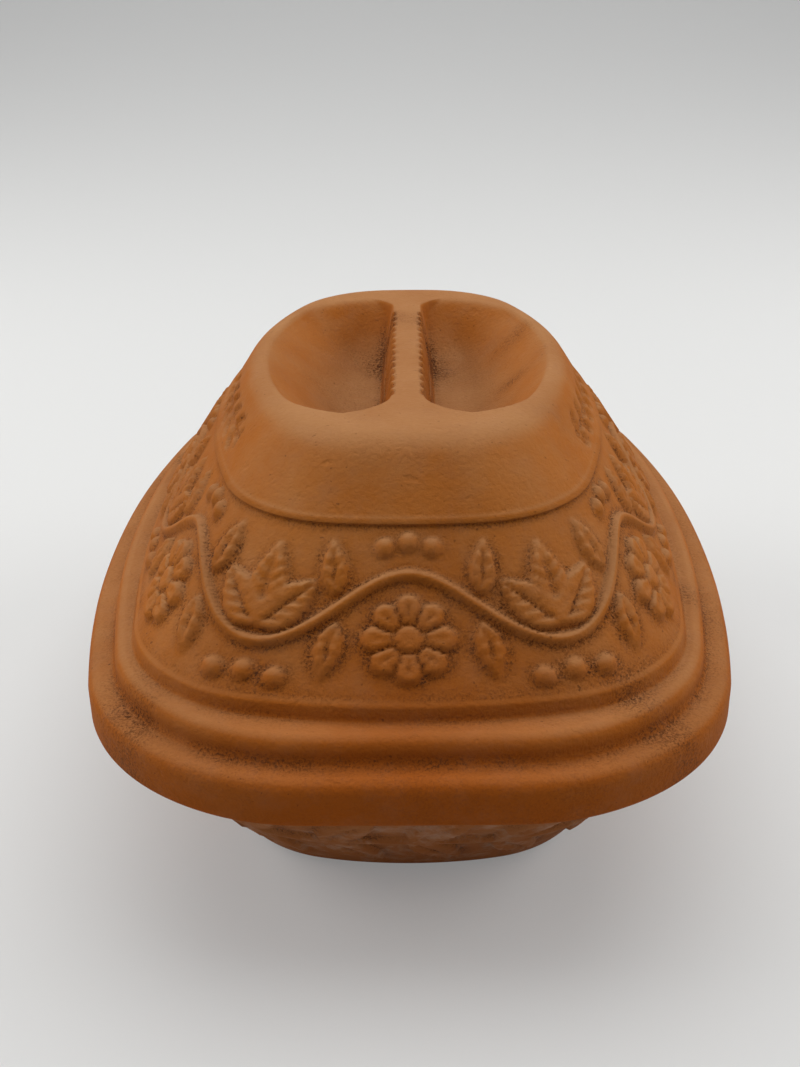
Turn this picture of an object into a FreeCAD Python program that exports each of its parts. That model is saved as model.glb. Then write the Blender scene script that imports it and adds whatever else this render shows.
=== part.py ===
"""Two-piece unglazed clay baker: a boat-shaped base and a domed lid that lifts off.

Millimetres, +Z up, long axis along Y. The origin is the centre of the flat foot.
"""

import FreeCAD, Part
import Sketcher

import enum
import math
import os

# Smallest distance from an axis that a sketch point can be held at
TOUCH = 1e-4

# The sketch's own axes, and the points of a curve in it, by their numbers in Sketcher
X_AXIS, Y_AXIS = -1, -2
Point = enum.IntEnum("Point", ["START", "STOP", "CENTRE"])

# Driving sizes: alias, value in millimetres, what it measures
SIZES = [
    ("lid_length", 340, "rim of the lid, end to end"),
    ("lid_width", 240, "rim of the lid, side to side"),
    ("rim_end_bow", 3.7, "how far the rim's nearly straight ends bow out"),
    ("rim_side_bow", 28.6, "how far the rim's long sides bow out"),
    ("rim_corner", 79, "radius of the rim's corners"),
    ("sill_end_bow", 20.6, "how far the dome's ends bow out at the sill"),
    ("sill_side_bow", 17.4, "how far the dome's sides bow out at the sill"),
    ("sill_corner", 56, "corner radius of the dome at the sill"),
    ("crest_end_bow", 10.6, "how far the dome's ends bow out at the crest"),
    ("crest_side_bow", 28.5, "how far the dome's sides bow out at the crest"),
    ("crest_corner", 40, "corner radius of the dome at the crest"),
    ("base_height", 78, "foot to the seat that carries the lid"),
    ("skirt_overlap", 6, "how far the lid's skirt hangs below the seat"),
    ("skirt_height", 15.5, "outer face of the lid's rim"),
    ("skirt_wall", 6, "wall of the skirt outside the rebate"),
    ("fit_clearance", 1, "gap between the base's flange and the skirt"),
    ("bead_height", 9, "rim shelf to the top of the bead"),
    ("sill_height", 5, "bead to the sill under the relief band"),
    ("band_height", 42, "sill to the eaves above the relief band"),
    ("roof_height", 22.5, "eaves to the crest"),
    ("rim_shelf", 10, "flat shelf between the rim and the bead"),
    ("bead_width", 9.5, "bead between the shelf and the sill"),
    ("relief_step", 2.5, "how far the relief band is set back, measured level"),
    ("dome_end_run", 59, "sill to the crest at the ends, in plan"),
    ("dome_side_run", 41.5, "sill to the crest at the sides, in plan"),
    ("lid_wall", 12, "wall of the dome, measured level"),
    ("roof_wall", 9, "clay above the hollow and under the scoops"),
    ("mouth_inset", 27, "rim of the lid to the hollow's mouth"),
    ("scoop_depth", 24, "crest to the floor of a finger scoop"),
    ("scoop_end_margin", 21.5, "crest's end edge to a scoop"),
    ("scoop_side_margin", 7.5, "crest's side edge to a scoop"),
    ("scoop_end_slope", 20, "run of a scoop's end wall"),
    ("scoop_end_radius", 200, "radius of a scoop's ends"),
    ("scoop_outer_share", 0.44, "outer corner radius of a scoop, as a share of its width"),
    ("scoop_grip_share", 0.31, "corner radius beside the grip, as a share of a scoop's width"),
    ("floor_width", 20, "floor of a scoop, side to side"),
    ("floor_side_radius", 400, "radius of a scoop's outer side at the floor"),
    ("floor_corner", 8, "corner radius of a scoop's floor"),
    ("grip_width", 12.4, "bar between the scoops, at the crest"),
    ("grip_draft", 2.5, "how far each side of the bar spreads at its foot"),
    ("notch_radius", 1.7, "round notches along the bar"),
    ("notch_bite", 1.1, "how far a notch cuts into the bar"),
    ("notch_depth", 11, "length of a notch down the bar"),
    ("notch_margin", 14, "last notch to the bar's flared end"),
    ("flange_height", 9, "flange of the base"),
    ("neck_inset", 7, "base's flange to its wall"),
    ("foot_end_inset", 52.5, "neck to the foot at the ends, in plan"),
    ("foot_side_inset", 34.5, "neck to the foot at the sides, in plan"),
    ("neck_corner", 68, "corner radius of the base under its flange"),
    ("foot_corner", 45, "corner radius of the foot"),
    ("foot_end_bow", 18, "how far the foot's ends bow out"),
    ("base_wall", 11, "wall of the base, measured level"),
    ("base_floor", 10, "floor of the base"),
    ("rim_round", 4, "round on the rim's upper edge"),
    ("lip_round", 1.8, "round on the skirt's lower edge"),
    ("bead_round", 3.5, "round on the bead"),
    ("cove_round", 3, "hollow round at the foot of the bead"),
    ("sill_round", 1, "round on the sill"),
    ("crest_round", 9, "round on the shoulder between the dome and its flat top"),
    ("scoop_lip_round", 3, "round on a scoop's lip"),
    ("scoop_floor_round", 7, "hollow round on a scoop's floor"),
    ("pod_round", 6, "round under the scoops, inside the lid"),
    ("foot_round", 14, "round on the foot's edge"),
    ("flange_round", 2.5, "round on the base's flange"),
    ("neck_round", 5, "hollow round under the base's flange"),
    ("floor_round", 16, "hollow round inside the base"),
]
NOTCHES = 14


class Amount:
    """A size with its value and the expression that binds it to the sheet."""

    def __init__(self, value, text):
        self.value = value
        self.text = text

    def _join(self, other, sign, result):
        right = other.text if isinstance(other, Amount) else repr(other)
        return Amount(result, f"({self.text} {sign} {right})")

    def __add__(self, other):
        return self._join(other, "+", self.value + number(other))

    def __sub__(self, other):
        return self._join(other, "-", self.value - number(other))

    def __mul__(self, other):
        return self._join(other, "*", self.value * number(other))

    def __truediv__(self, other):
        return self._join(other, "/", self.value / number(other))

    def __neg__(self):
        return Amount(-self.value, f"(0 - {self.text})")


def number(amount):
    return amount.value if isinstance(amount, Amount) else amount


def bow_radius(reach, bow):
    """Radius of the arc that bows out by so much over a reach on each side of its middle."""
    return (reach * reach + bow * bow) / (bow * 2)


class Sizes:
    """The driving sizes, each a named cell of the document's sheet."""

    def __init__(self, doc):
        sheet = doc.addObject("Spreadsheet::Sheet", "Sizes")
        for row, (alias, value, note) in enumerate(SIZES, 1):
            sheet.set(f"A{row}", note)
            sheet.set(f"B{row}", str(value))
            sheet.setAlias(f"B{row}", alias)
            setattr(self, alias, Amount(value, f"Sizes.{alias}"))


class Outline:
    """A plan of eight tangent arcs, or seven and a straight left side, level at one height."""

    def __init__(self, left, right, half_length, end_radius, side_radius, left_corner, right_corner, straight=False):
        self.left = left
        self.right = right
        self.half_length = half_length
        self.end_radius = end_radius
        self.side_radius = side_radius
        self.left_corner = left_corner
        self.right_corner = right_corner
        self.straight = straight

    @classmethod
    def centred(cls, half_length, half_width, end_radius, side_radius, corner):
        """A plan that is the same on both sides of the long axis."""
        return cls(-half_width, half_width, half_length, end_radius, side_radius, corner, corner)

    def inset(self, ends, sides, corner, end_bow=None):
        """The plan drawn in by so much at its ends and sides, with its own corner."""
        half_width = self.right - sides
        end_radius = bow_radius(half_width, end_bow) if end_bow else self.end_radius - ends
        return Outline.centred(self.half_length - ends, half_width, end_radius, self.side_radius - sides, corner)


def meeting_point(first, first_reach, second, second_reach):
    """The point at two distances from two centres, the one that is further along Y."""
    gap_x = second[0] - first[0]
    gap_y = second[1] - first[1]
    gap = math.hypot(gap_x, gap_y)
    along = (first_reach**2 - second_reach**2 + gap**2) / (2 * gap)
    off = math.sqrt(first_reach**2 - along**2)
    found = []
    for turn in (1, -1):
        x = first[0] + (gap_x * along - turn * gap_y * off) / gap
        y = first[1] + (gap_y * along + turn * gap_x * off) / gap
        found.append((x, y))
    return max(found, key=lambda point: point[1])


def direction(start, end):
    return math.atan2(end[1] - start[1], end[0] - start[0])


class OutlineSketch:
    """Draws an outline as a fully constrained sketch whose sizes follow the sheet."""

    def __init__(self, sketch, plan):
        self.sketch = sketch
        self.draw(plan)

    def draw(self, plan):
        middle = plan.left + plan.left_corner if plan.straight else (plan.left + plan.right) / 2
        end = (middle.value, plan.half_length.value - plan.end_radius.value)
        right = (plan.right.value - plan.side_radius.value, 0)
        reach = plan.end_radius.value - plan.right_corner.value
        corner = meeting_point(end, reach, right, plan.side_radius.value - plan.right_corner.value)
        if plan.straight:
            other = (middle.value, plan.half_length.value - plan.left_corner.value)
            other_side = math.pi
        else:
            left = (plan.left.value + plan.side_radius.value, 0)
            other_reach = plan.end_radius.value - plan.left_corner.value
            other = meeting_point(end, other_reach, left, plan.side_radius.value - plan.left_corner.value)
            other_side = direction(left, other)
        end_stop = direction(end, other)
        end_start = direction(end, corner)
        side_stop = direction(right, corner)

        far_end = self.arc(end, plan.end_radius, end_start, end_stop)
        far_left = self.arc(other, plan.left_corner, end_stop, other_side)
        if plan.straight:
            side = self.line((plan.left.value, other[1]), (plan.left.value, -other[1]))
        else:
            side = self.arc(left, plan.side_radius, other_side, 2 * math.pi - other_side)
        near_left = self.arc((other[0], -other[1]), plan.left_corner, -other_side, -end_stop)
        near_end = self.arc((end[0], -end[1]), plan.end_radius, -end_stop, -end_start)
        near_right = self.arc((corner[0], -corner[1]), plan.right_corner, -end_start, -side_stop)
        right_side = self.arc(right, plan.side_radius, -side_stop, side_stop)
        far_right = self.arc(corner, plan.right_corner, side_stop, end_start)

        ring = [far_end, far_left, side, near_left, near_end, near_right, right_side, far_right]
        for first, second in zip(ring, ring[1:] + ring[:1]):
            self.sketch.addConstraint(Sketcher.Constraint("Tangent", first, Point.STOP, second, Point.START))
        self.hold_centre(far_end, middle, plan.half_length - plan.end_radius)
        self.hold_centre(near_end, middle, plan.end_radius - plan.half_length)
        self.hold_centre(right_side, plan.right - plan.side_radius, None)
        if plan.straight:
            self.sketch.addConstraint(Sketcher.Constraint("Vertical", side))
            hold_distance(self.sketch, "DistanceX", side, Point.START, plan.left)
        else:
            self.hold_centre(side, plan.left + plan.side_radius, None)

    def arc(self, centre, radius, start, stop):
        circle = Part.Circle(FreeCAD.Vector(*centre, 0), FreeCAD.Vector(0, 0, 1), radius.value)
        index = self.sketch.addGeometry(Part.ArcOfCircle(circle, start, stop))
        hold(self.sketch, Sketcher.Constraint("Radius", index, radius.value), radius)
        return index

    def line(self, start, stop):
        segment = Part.LineSegment(FreeCAD.Vector(*start, 0), FreeCAD.Vector(*stop, 0))
        return self.sketch.addGeometry(segment)

    def hold_centre(self, index, x, y):
        """Ties an arc's centre to x and y, or to the X axis where y is None."""
        if abs(x.value) < TOUCH:
            self.sketch.addConstraint(Sketcher.Constraint("PointOnObject", index, Point.CENTRE, Y_AXIS))
        else:
            hold_distance(self.sketch, "DistanceX", index, Point.CENTRE, x)
        if y is None:
            self.sketch.addConstraint(Sketcher.Constraint("PointOnObject", index, Point.CENTRE, X_AXIS))
        else:
            hold_distance(self.sketch, "DistanceY", index, Point.CENTRE, y)


def hold(sketch, constraint, amount):
    """Adds a constraint whose value follows the sheet."""
    held = sketch.addConstraint(constraint)
    sketch.setExpression(f"Constraints[{held}]", amount.text)


def hold_distance(sketch, kind, index, point, amount):
    """Ties a point to its distance from the origin along one axis, on either side of it."""
    if amount.value < 0:
        amount = -amount
        constraint = Sketcher.Constraint(kind, index, point, X_AXIS, Point.START, amount.value)
    else:
        constraint = Sketcher.Constraint(kind, X_AXIS, Point.START, index, point, amount.value)
    hold(sketch, constraint, amount)


class ClayBody:
    """A piece of clay, built feature by feature in one PartDesign body."""

    def __init__(self, doc, label):
        self.doc = doc
        self.body = doc.addObject("PartDesign::Body", label)
        self.body.Label = label

    def origin_plane(self, role):
        return next(plane for plane in self.body.Origin.OriginFeatures if plane.Role == role)

    def level_sketch(self, name, height):
        """A bare level sketch at a height."""
        sketch = self.body.newObject("Sketcher::SketchObject", name)
        sketch.AttachmentSupport = [(self.origin_plane("XY_Plane"), "")]
        sketch.MapMode = "FlatFace"
        sketch.setExpression("AttachmentOffset.Base.z", height.text)
        return sketch

    def outline(self, name, plan, height):
        """A plan drawn at a height."""
        return OutlineSketch(self.level_sketch(name, height), plan).sketch

    def pad(self, name, plan, height, length):
        """Adds a straight-sided slab on a plan."""
        return self.prism("PartDesign::Pad", name, plan, height, length)

    def pocket(self, name, plan, height, length):
        """Cuts a straight-sided pocket upwards from a plan."""
        feature = self.prism("PartDesign::Pocket", name, plan, height, length)
        feature.Reversed = True
        return feature

    def prism(self, kind, name, plan, height, length):
        sketch = self.outline(name + "_plan", plan, height)
        feature = self.body.newObject(kind, name)
        feature.Profile = sketch
        feature.setExpression("Length", length.text)
        return feature

    def loft(self, kind, name, stations, ruled=True):
        """Adds or cuts a loft through plans at their heights."""
        sketches = []
        for count, (plan, height) in enumerate(stations, 1):
            sketches.append(self.outline(f"{name}_plan_{count}", plan, height))
        feature = self.body.newObject(kind, name)
        feature.Profile = sketches[0]
        feature.Sections = sketches[1:]
        feature.Ruled = ruled
        return feature

    def mirror(self, name, originals):
        """Repeats features on the other side of the long axis."""
        feature = self.body.newObject("PartDesign::Mirrored", name)
        feature.Originals = originals
        feature.MirrorPlane = (self.origin_plane("YZ_Plane"), [""])
        self.body.Tip = feature
        return feature

    def round_loops(self, name, radius, loops):
        """Rounds level loops of edges, each given by its height and how far it reaches along Y."""
        self.doc.recompute()
        base = self.body.Tip
        edges = []
        for height, reach in loops:
            edges += loop_names(base.Shape, height.value, reach.value)
        feature = self.body.newObject("PartDesign::Fillet", name)
        feature.Base = (base, edges)
        feature.setExpression("Radius", radius.text)
        return feature


def loop_names(shape, height, reach):
    """Names of the edges in the level loops at a height that reach just so far along Y."""
    near = 0.01
    level = {}
    for count, edge in enumerate(shape.Edges, 1):
        box = edge.BoundBox
        if abs(box.ZMin - height) < near and abs(box.ZMax - height) < near:
            level[f"Edge{count}"] = edge
    names = []
    for chain in Part.sortEdges(list(level.values())):
        if abs(Part.Wire(chain).BoundBox.YMax - reach) < near:
            names += [name for name, edge in level.items() if any(edge.isSame(other) for other in chain)]
    if not names:
        raise ValueError(f"no loop at height {height:.2f} reaches {reach:.2f}")
    return names


class Levels:
    """Heights above the foot that the two pieces share."""

    def __init__(self, size):
        self.foot = size.base_height * 0
        self.seat = size.base_height
        self.skirt = size.base_height - size.skirt_overlap
        self.shelf = self.skirt + size.skirt_height
        self.bead = self.shelf + size.bead_height
        self.sill = self.bead + size.sill_height
        self.eaves = self.sill + size.band_height
        self.crest = self.eaves + size.roof_height
        self.hollow = self.crest - size.roof_wall
        self.scoop_floor = self.crest - size.scoop_depth
        self.pod = self.scoop_floor - size.roof_wall
        self.neck = size.base_height - size.flange_height


class LidPlans:
    """The lid's plans, from the rim in to the crest of its dome."""

    def __init__(self, size, level):
        self.size = size
        self.level = level
        half_length = size.lid_length / 2
        half_width = size.lid_width / 2
        self.rim = Outline.centred(
            half_length,
            half_width,
            bow_radius(half_width, size.rim_end_bow),
            bow_radius(half_length, size.rim_side_bow),
            size.rim_corner,
        )
        self.bead = self.drawn_in(size.rim_shelf)
        self.sill = self.dome(level.sill)
        self.crest = self.dome(level.crest)

    def drawn_in(self, inset):
        """The rim's plan drawn in evenly all round."""
        return self.rim.inset(inset, inset, self.size.rim_corner - inset)

    def dome(self, height, inset=None):
        """The dome's plan where it passes a height, drawn in by an inset if there is one."""
        size = self.size
        share = (height - self.level.sill) / (self.level.crest - self.level.sill)
        edge = size.rim_shelf + size.bead_width
        if inset:
            edge = edge + inset
        half_length = size.lid_length / 2 - edge - size.dome_end_run * share
        half_width = size.lid_width / 2 - edge - size.dome_side_run * share
        return Outline.centred(
            half_length,
            half_width,
            bow_radius(half_width, size.sill_end_bow + (size.crest_end_bow - size.sill_end_bow) * share),
            bow_radius(half_length, size.sill_side_bow + (size.crest_side_bow - size.sill_side_bow) * share),
            size.sill_corner + (size.crest_corner - size.sill_corner) * share,
        )


def scoop_plans(size, crest):
    """The lip and the floor of the finger scoop on the +X side of the grip bar."""
    grip_edge = size.grip_width / 2
    width = crest.right - size.scoop_side_margin - grip_edge
    lip = Outline(
        grip_edge,
        grip_edge + width,
        crest.half_length - size.scoop_end_margin,
        size.scoop_end_radius,
        crest.side_radius - size.scoop_side_margin,
        width * size.scoop_grip_share,
        width * size.scoop_outer_share,
        straight=True,
    )
    floor_edge = lip.left + size.grip_draft
    floor = Outline(
        floor_edge,
        floor_edge + size.floor_width,
        lip.half_length - size.scoop_end_slope,
        size.scoop_end_radius,
        size.floor_side_radius,
        size.floor_corner,
        size.floor_corner,
        straight=True,
    )
    return lip, floor


def make_lid(doc, size, level):
    """The domed lid: stepped rim, leaning relief band, rounded shoulder and two finger scoops."""
    lid = ClayBody(doc, "lid")
    plans = LidPlans(size, level)
    rim, bead, sill, crest = plans.rim, plans.bead, plans.sill, plans.crest
    band = [
        (plans.dome(level.sill, size.relief_step), level.sill),
        (plans.dome(level.eaves, size.relief_step), level.eaves),
    ]
    roof = [(plans.dome(level.eaves), level.eaves), (crest, level.crest)]
    lid.pad("rim", rim, level.skirt, size.skirt_height)
    lid.pad("bead", bead, level.skirt, level.bead - level.skirt)
    lid.pad("sill", sill, level.skirt, level.sill - level.skirt)
    lid.loft("PartDesign::AdditiveLoft", "band", band)
    lid.loft("PartDesign::AdditiveLoft", "roof", roof)
    lid.round_loops("rim_rounds", size.rim_round, [(level.shelf, rim.half_length)])
    lid.round_loops("bead_rounds", size.bead_round, [(level.bead, bead.half_length)])
    lid.round_loops("bead_coves", size.cove_round, [(level.shelf, bead.half_length)])
    lid.round_loops("sill_rounds", size.sill_round, [(level.sill, sill.half_length)])
    lid.round_loops("crest_rounds", size.crest_round, [(level.crest, crest.half_length)])
    hollow_lid(lid, size, level, plans)
    lip, floor = scoop_plans(size, crest)
    add_scoops(lid, size, level, lip, floor)
    lid.round_loops("skirt_rounds", size.lip_round, [(level.skirt, rim.half_length)])
    add_notches(lid, size, level, lip)
    return lid


def hollow_lid(lid, size, level, plans):
    """Cuts the lid's hollow and the rebate that caps the base's flange."""
    stations = [
        (plans.drawn_in(size.mouth_inset), level.skirt),
        (plans.dome(level.sill, size.lid_wall), level.sill),
        (plans.dome(level.hollow, size.lid_wall), level.hollow),
    ]
    lid.loft("PartDesign::SubtractiveLoft", "hollow", stations)
    lid.pocket("rebate", plans.drawn_in(size.skirt_wall), level.skirt, size.skirt_overlap)


def add_scoops(lid, size, level, lip, floor):
    """Hangs the pod under the crest and sinks the two scoops into it, with the grip bar between."""
    share = size.roof_wall / size.scoop_depth
    pod_top = Outline.centred(
        lip.half_length - size.scoop_end_slope * share + size.lid_wall,
        lip.right - (lip.right - floor.right) * share + size.lid_wall,
        size.scoop_end_radius,
        lip.side_radius,
        lip.right_corner + size.lid_wall,
    )
    pod_foot = Outline.centred(
        floor.half_length + size.roof_wall / 2,
        floor.right + size.roof_wall / 2,
        size.scoop_end_radius,
        lip.side_radius,
        size.floor_corner + size.roof_wall / 2,
    )
    lid.loft("PartDesign::AdditiveLoft", "pod", [(pod_top, level.hollow), (pod_foot, level.pod)])
    lid.round_loops("pod_rounds", size.pod_round, [(level.pod, pod_foot.half_length)])
    stations = [(lip, level.crest), (floor, level.scoop_floor)]
    scoop = lid.loft("PartDesign::SubtractiveLoft", "scoop", stations)
    lid.mirror("second_scoop", [scoop])
    lid.round_loops("scoop_floors", size.scoop_floor_round, [(level.scoop_floor, floor.half_length)])
    lid.round_loops("scoop_lips", size.scoop_lip_round, [(level.crest, lip.half_length)])


def add_notches(lid, size, level, lip):
    """Cuts a row of round notches down both sides of the grip bar."""
    run = (lip.half_length - lip.left_corner - size.notch_margin) * 2
    across = size.grip_width / 2 - size.notch_bite + size.notch_radius
    sketch = lid.level_sketch("notch_plan", level.crest)
    for side in (across, -across):
        centre = FreeCAD.Vector(side.value, -run.value / 2, 0)
        circle = Part.Circle(centre, FreeCAD.Vector(0, 0, 1), size.notch_radius.value)
        index = sketch.addGeometry(circle)
        hold(sketch, Sketcher.Constraint("Radius", index, size.notch_radius.value), size.notch_radius)
        hold_distance(sketch, "DistanceX", index, Point.CENTRE, side)
        hold_distance(sketch, "DistanceY", index, Point.CENTRE, -run / 2)
    notch = lid.body.newObject("PartDesign::Pocket", "notch")
    notch.Profile = sketch
    notch.setExpression("Length", size.notch_depth.text)
    row = lid.body.newObject("PartDesign::LinearPattern", "notch_row")
    row.Originals = [notch]
    row.Direction = (sketch, ["V_Axis"])
    row.setExpression("Length", run.text)
    row.Occurrences = NOTCHES
    lid.body.Tip = row


def make_base(doc, size, level):
    """The boat-shaped base: flat foot, leaning walls, flange that carries the lid."""
    base = ClayBody(doc, "base")
    flange = LidPlans(size, level).drawn_in(size.skirt_wall + size.fit_clearance)
    neck = flange.inset(size.neck_inset, size.neck_inset, size.neck_corner)
    foot = neck.inset(size.foot_end_inset, size.foot_side_inset, size.foot_corner, size.foot_end_bow)
    base.loft("PartDesign::AdditiveLoft", "wall", [(foot, level.foot), (neck, level.neck)])
    base.pad("flange", flange, level.neck, size.flange_height)
    base.round_loops("neck_coves", size.neck_round, [(level.neck, neck.half_length)])
    base.round_loops("foot_rounds", size.foot_round, [(level.foot, foot.half_length)])

    slope = size.base_floor / level.neck
    rise = size.flange_height / level.neck
    inner_foot = neck.inset(
        size.foot_end_inset - size.foot_end_inset * slope + size.base_wall,
        size.foot_side_inset - size.foot_side_inset * slope + size.base_wall,
        size.foot_corner - size.base_wall,
        size.foot_end_bow,
    )
    mouth = neck.inset(
        size.base_wall - size.foot_end_inset * rise / 2,
        size.base_wall - size.foot_side_inset * rise / 2,
        size.neck_corner - size.base_wall,
    )
    stations = [(inner_foot, size.base_floor), (mouth, level.seat)]
    base.loft("PartDesign::SubtractiveLoft", "hollow", stations)
    base.round_loops("floor_rounds", size.floor_round, [(size.base_floor, inner_foot.half_length)])
    edges = [
        (level.seat, flange.half_length),
        (level.neck, flange.half_length),
        (level.seat, mouth.half_length),
    ]
    base.round_loops("flange_rounds", size.flange_round, edges)
    return base


def check(doc, pieces):
    """Stops the build if anything failed to compute or a piece isn't one sound solid."""
    for item in doc.Objects:
        if "Invalid" in item.State or "Error" in item.State:
            raise RuntimeError(f"{item.Name} failed: {item.State}")
    for piece in pieces:
        shape = piece.body.Shape
        if shape.isNull() or not shape.isValid() or len(shape.Solids) != 1:
            raise RuntimeError(f"{piece.body.Label} isn't one sound solid")


def main():
    doc = FreeCAD.newDocument("clay_baker")
    size = Sizes(doc)
    level = Levels(size)
    pieces = [make_base(doc, size, level), make_lid(doc, size, level)]
    doc.recompute()
    check(doc, pieces)
    os.makedirs("parts", exist_ok=True)
    for piece in pieces:
        shape = piece.body.Shape
        shape.exportStep(f"parts/{piece.body.Label}.step")
        box = shape.optimalBoundingBox()
        print(f"{piece.body.Label}: {box.XLength:.1f} x {box.YLength:.1f} x {box.ZLength:.1f} mm")
        print(f"  {shape.Volume / 1000:.0f} cm3, {len(shape.Faces)} faces")


main()
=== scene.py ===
"""Looks of a two-piece unglazed clay baker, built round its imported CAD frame.

Millimetres inside the classes, metres in Blender; +Z up, long axis along Y, foot on the floor.
"""

from __future__ import annotations

import logging
import math
from dataclasses import dataclass, replace
from enum import Enum

import bmesh
import bpy
import numpy as np
from mathutils import Matrix, Vector

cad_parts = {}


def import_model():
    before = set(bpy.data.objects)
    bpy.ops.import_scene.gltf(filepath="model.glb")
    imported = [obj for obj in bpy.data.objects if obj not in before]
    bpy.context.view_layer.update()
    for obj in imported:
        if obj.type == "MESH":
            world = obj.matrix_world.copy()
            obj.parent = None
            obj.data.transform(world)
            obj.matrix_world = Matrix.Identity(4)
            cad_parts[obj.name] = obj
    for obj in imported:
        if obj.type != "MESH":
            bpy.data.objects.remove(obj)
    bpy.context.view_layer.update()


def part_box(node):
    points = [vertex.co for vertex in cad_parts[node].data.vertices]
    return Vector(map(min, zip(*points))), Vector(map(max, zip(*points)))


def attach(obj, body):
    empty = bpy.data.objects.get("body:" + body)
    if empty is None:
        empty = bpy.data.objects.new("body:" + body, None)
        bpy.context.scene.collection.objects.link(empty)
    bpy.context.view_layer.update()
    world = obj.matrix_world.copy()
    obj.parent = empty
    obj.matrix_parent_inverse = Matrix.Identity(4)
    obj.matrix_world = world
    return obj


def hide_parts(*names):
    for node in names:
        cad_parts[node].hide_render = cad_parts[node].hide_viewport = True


LOG = logging.getLogger("clay_baker")
MM = 0.001
SLACK = 1e-9  # rounding that is let pass
NEAR_END = 0.75  # the near end's place, as a share of the way round from +X


class Piece(Enum):
    """The two clay pieces: CAD node and body, material slot, name of the visual piece."""

    BASE = ("base", "base_clay", "clay_base")
    LID = ("lid", "lid_clay", "clay_lid")

    @property
    def node(self) -> str:
        """CAD node and body that the piece stands for."""
        return self.value[0]

    @property
    def slot(self) -> str:
        """Material slot in the record."""
        return self.value[1]

    @property
    def title(self) -> str:
        """Name of the Blender object."""
        return self.value[2]


def linear(colour: str) -> tuple[float, float, float, float]:
    """Turns an sRGB hex colour into linear RGBA.

    Args:
        colour: six hex digits after a hash sign.

    Returns:
        Linear red, green, blue and an alpha of 1.
    """
    parts = [int(colour[i : i + 2], 16) / 255 for i in (1, 3, 5)]
    red, green, blue = [c / 12.92 if c <= 0.04045 else ((c + 0.055) / 1.055) ** 2.4 for c in parts]
    return red, green, blue, 1.0


def add_node(
    tree: bpy.types.NodeTree, kind: str, inputs: dict | None = None, **settings: object
) -> bpy.types.Node:
    """Adds a shader node with its settings, values and links.

    Args:
        tree: node tree that takes the node.
        kind: Blender's name of the node type.
        inputs: value or output socket for each input, by name or index.
        **settings: properties of the node itself.

    Returns:
        The new node.
    """
    node = tree.nodes.new(kind)
    for name, value in settings.items():
        setattr(node, name, value)
    for socket, value in (inputs or {}).items():
        if isinstance(value, bpy.types.NodeSocket):
            tree.links.new(value, node.inputs[socket])
        else:
            node.inputs[socket].default_value = value
    return node


def swell(distance: np.ndarray, edge: float) -> np.ndarray:
    """Soft step from 1 inside a shape to 0 outside it.

    Args:
        distance: signed distance to the shape's border, negative inside.
        edge: width of the soft border.

    Returns:
        Share of the full relief at each point.
    """
    share = np.clip(0.5 - distance / edge, 0.0, 1.0)
    return share * share * (3 - 2 * share)


def smooth_min(first: np.ndarray, second: np.ndarray | float, blend: float) -> np.ndarray:
    """Lesser of two heights with a round of about the given size where they cross.

    Args:
        first: heights.
        second: other heights.
        blend: size of the round.

    Returns:
        Blended lesser heights.
    """
    share = np.clip(0.5 + 0.5 * (second - first) / blend, 0.0, 1.0)
    return second + (first - second) * share - blend * share * (1 - share)


def rounded_profile(
    corners: list[tuple[float, float, float]], steps: int
) -> list[tuple[float, float]]:
    """Rounds the corners of a profile.

    Args:
        corners: inset, height and radius of each corner; the ends have radius 0.
        steps: points on each round.

    Returns:
        Inset and height of each point of the rounded profile.
    """
    points = [corners[0][:2]]
    for before, corner, after in zip(corners, corners[1:], corners[2:]):
        middle = Vector(corner[:2])
        back = (Vector(before[:2]) - middle).normalized()
        ahead = (Vector(after[:2]) - middle).normalized()
        half = back.angle(ahead) / 2
        reach = corner[2] / math.tan(half)
        centre = middle + (back + ahead).normalized() * (corner[2] / math.sin(half))
        start = middle + back * reach - centre
        stop = middle + ahead * reach - centre
        turn = start.angle_signed(stop)
        for step in range(steps + 1):
            spoke = start.copy()
            spoke.rotate(Matrix.Rotation(-turn * step / steps, 2))
            points.append(tuple(centre + spoke))
    points.append(corners[-1][:2])
    return points


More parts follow.
